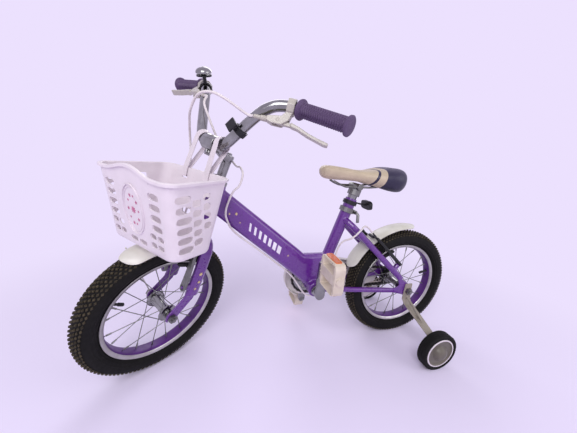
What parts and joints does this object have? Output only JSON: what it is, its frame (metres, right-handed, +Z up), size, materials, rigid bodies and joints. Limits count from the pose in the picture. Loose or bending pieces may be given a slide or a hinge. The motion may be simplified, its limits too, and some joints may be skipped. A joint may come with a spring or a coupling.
{
  "type": "child bicycle",
  "caption": "Child's bicycle with training wheels, laced wheels, rim brakes, chain guard, front basket, bell and fenders, its handlebar turned left",
  "frame": {"origin": "centre of the flat that the rear tyre stands on, in the bicycle's middle plane", "axes": "+X forward along the frame, +Y to the rider's left, +Z up"},
  "size_m": [1.0303, 0.4513, 0.7417],
  "materials": {
    "frame_purple": "gloss",
    "white_plastic": "gloss",
    "chrome": "polished",
    "rim_silver": "satin",
    "black_plastic": "satin",
    "black_steel": "satin",
    "pad_rubber": "matte",
    "tyre_rubber": "matte",
    "grip_purple": "matte",
    "saddle_vinyl": "satin",
    "zinc_steel": "satin"
  },
  "bodies": {
    "frame": {"frame": "frame_purple", "chain_guard": "white_plastic", "rear_fender": "white_plastic", "seat_clamp": "chrome", "rear_reflector": "black_plastic", "rear_axle": "zinc_steel", "training_bracket_left": "white_plastic", "training_bracket_right": "white_plastic", "rear_brake_cable": "white_plastic", "headset_lower": "chrome", "chain": "zinc_steel"},
    "steering": {"headset_upper": "chrome", "front_brake_cable": "white_plastic", "front_axle": "zinc_steel", "fork": "frame_purple", "stem": "chrome", "stem_bolt": "zinc_steel", "handlebar": "chrome", "grip_left": "grip_purple", "grip_right": "grip_purple", "lever_perch_left": "white_plastic", "lever_perch_right": "white_plastic", "reflector_bracket": "black_plastic", "basket": "white_plastic", "basket_strap_left": "white_plastic", "basket_strap_right": "white_plastic", "front_fender": "white_plastic", "bell_base": "black_plastic", "bell_dome": "chrome"},
    "front_wheel": {"front_tyre": "tyre_rubber", "front_rim": "rim_silver", "front_hub": "rim_silver"},
    "rear_wheel": {"rear_tyre": "tyre_rubber", "rear_rim": "rim_silver", "rear_hub": "rim_silver"},
    "cranks": {"crank": "chrome", "chainring": "chrome", "pedal_spindle_left": "zinc_steel", "pedal_spindle_right": "zinc_steel"},
    "left_pedal": {"pedal_left": "white_plastic"},
    "right_pedal": {"pedal_right": "white_plastic"},
    "sprocket": {"sprocket": "zinc_steel"},
    "left_lever": {"brake_lever_left": "white_plastic"},
    "right_lever": {"brake_lever_right": "white_plastic"},
    "front_left_arm": {"front_brake_arm_left": "chrome", "front_brake_pad_left": "pad_rubber"},
    "front_right_arm": {"front_brake_arm_right": "chrome", "front_brake_pad_right": "pad_rubber"},
    "rear_left_arm": {"rear_brake_arm_left": "chrome", "rear_brake_pad_left": "pad_rubber"},
    "rear_right_arm": {"rear_brake_arm_right": "chrome", "rear_brake_pad_right": "pad_rubber"},
    "bell_trigger": {"bell_lever": "black_plastic"},
    "seat": {"saddle": "saddle_vinyl", "saddle_rails": "black_steel", "seatpost": "chrome"},
    "left_training_wheel": {"training_tyre_left": "tyre_rubber", "training_hub_left": "white_plastic"},
    "right_training_wheel": {"training_tyre_right": "tyre_rubber", "training_hub_right": "white_plastic"}
  },
  "joints": [
    {"name": "steering", "type": "hinge", "parent": "frame", "child": "steering", "pos_m": [0.6714, 0, 0.177], "axis": [-0.3284, 0, 0.9445], "range_deg": [-97, 23], "deforming": ["rear_brake_cable"]},
    {"name": "front_wheel_spin", "type": "hinge", "parent": "steering", "child": "front_wheel", "pos_m": [0.70002, 0.02009, 0.17557], "axis": [-0.5698, 0.7976, -0.1981], "continuous": true},
    {"name": "rear_wheel_spin", "type": "hinge", "parent": "frame", "child": "rear_wheel", "pos_m": [0, 0, 0.177], "axis": [0, 1, 0], "continuous": true},
    {"name": "crank_spin", "type": "hinge", "parent": "frame", "child": "cranks", "pos_m": [0.297, 0, 0.19], "axis": [0, 1, 0], "continuous": true, "deforming": ["chain"]},
    {"name": "left_pedal_spin", "type": "hinge", "parent": "cranks", "child": "left_pedal", "pos_m": [0.297, 0.0655, 0.282], "axis": [0, 1, 0], "continuous": true},
    {"name": "right_pedal_spin", "type": "hinge", "parent": "cranks", "child": "right_pedal", "pos_m": [0.297, -0.078, 0.098], "axis": [0, 1, 0], "continuous": true},
    {"name": "sprocket_spin", "type": "hinge", "parent": "frame", "child": "sprocket", "pos_m": [0, 0, 0.177], "axis": [0, 1, 0], "continuous": true},
    {"name": "left_lever_squeeze", "type": "hinge", "parent": "steering", "child": "left_lever", "pos_m": [0.46057, 0.1285, 0.61931], "axis": [0.329, 0.8796, 0.3436], "range_deg": [0, 14], "stiffness_Nm_per_rad": 0.5, "springref_deg": -11.46},
    {"name": "right_lever_squeeze", "type": "hinge", "parent": "steering", "child": "right_lever", "pos_m": [0.61769, -0.07594, 0.68345], "axis": [-0.3918, -0.3719, -0.8415], "range_deg": [0, 14], "stiffness_Nm_per_rad": 0.5, "springref_deg": -11.46},
    {"name": "front_left_arm_swing", "type": "hinge", "parent": "steering", "child": "front_left_arm", "pos_m": [0.64492, 0.05296, 0.23925], "axis": [0.7534, 0.6032, 0.2619], "range_deg": [0, 2.1]},
    {"name": "front_right_arm_swing", "type": "hinge", "parent": "steering", "child": "front_right_arm", "pos_m": [0.69619, -0.01882, 0.25708], "axis": [-0.7534, -0.6032, -0.2619], "range_deg": [0, 2.1]},
    {"name": "rear_left_arm_swing", "type": "hinge", "parent": "frame", "child": "rear_left_arm", "pos_m": [0.03836, 0.045, 0.26305], "axis": [0.6722, 0, -0.7404], "range_deg": [0, 2.1]},
    {"name": "rear_right_arm_swing", "type": "hinge", "parent": "frame", "child": "rear_right_arm", "pos_m": [0.03836, -0.045, 0.26305], "axis": [-0.6722, 0, 0.7404], "range_deg": [0, 2.1]},
    {"name": "bell_trigger_push", "type": "hinge", "parent": "steering", "child": "bell_trigger", "pos_m": [0.59546, -0.07702, 0.69615], "axis": [0.1314, 0.3617, 0.923], "range_deg": [0, 25], "stiffness_Nm_per_rad": 0.05, "springref_deg": -11.46},
    {"name": "seat_height", "type": "slide", "parent": "frame", "child": "seat", "axis": [-0.2974, 0, 0.9548], "range_m": [-0.005, 0.03]},
    {"name": "left_training_spin", "type": "hinge", "parent": "frame", "child": "left_training_wheel", "pos_m": [-0.0276, 0.1776, 0.056], "axis": [0, 1, 0], "continuous": true},
    {"name": "right_training_spin", "type": "hinge", "parent": "frame", "child": "right_training_wheel", "pos_m": [-0.0276, -0.1776, 0.056], "axis": [0, 1, 0], "continuous": true}
  ],
  "couplings": [
    {"joint": "sprocket_spin", "follows": "crank_spin", "ratio": 1.7143},
    {"joint": "front_left_arm_swing", "follows": "left_lever_squeeze", "ratio": 0.147},
    {"joint": "front_right_arm_swing", "follows": "left_lever_squeeze", "ratio": 0.147},
    {"joint": "rear_left_arm_swing", "follows": "right_lever_squeeze", "ratio": 0.147},
    {"joint": "rear_right_arm_swing", "follows": "right_lever_squeeze", "ratio": 0.147}
  ]
}
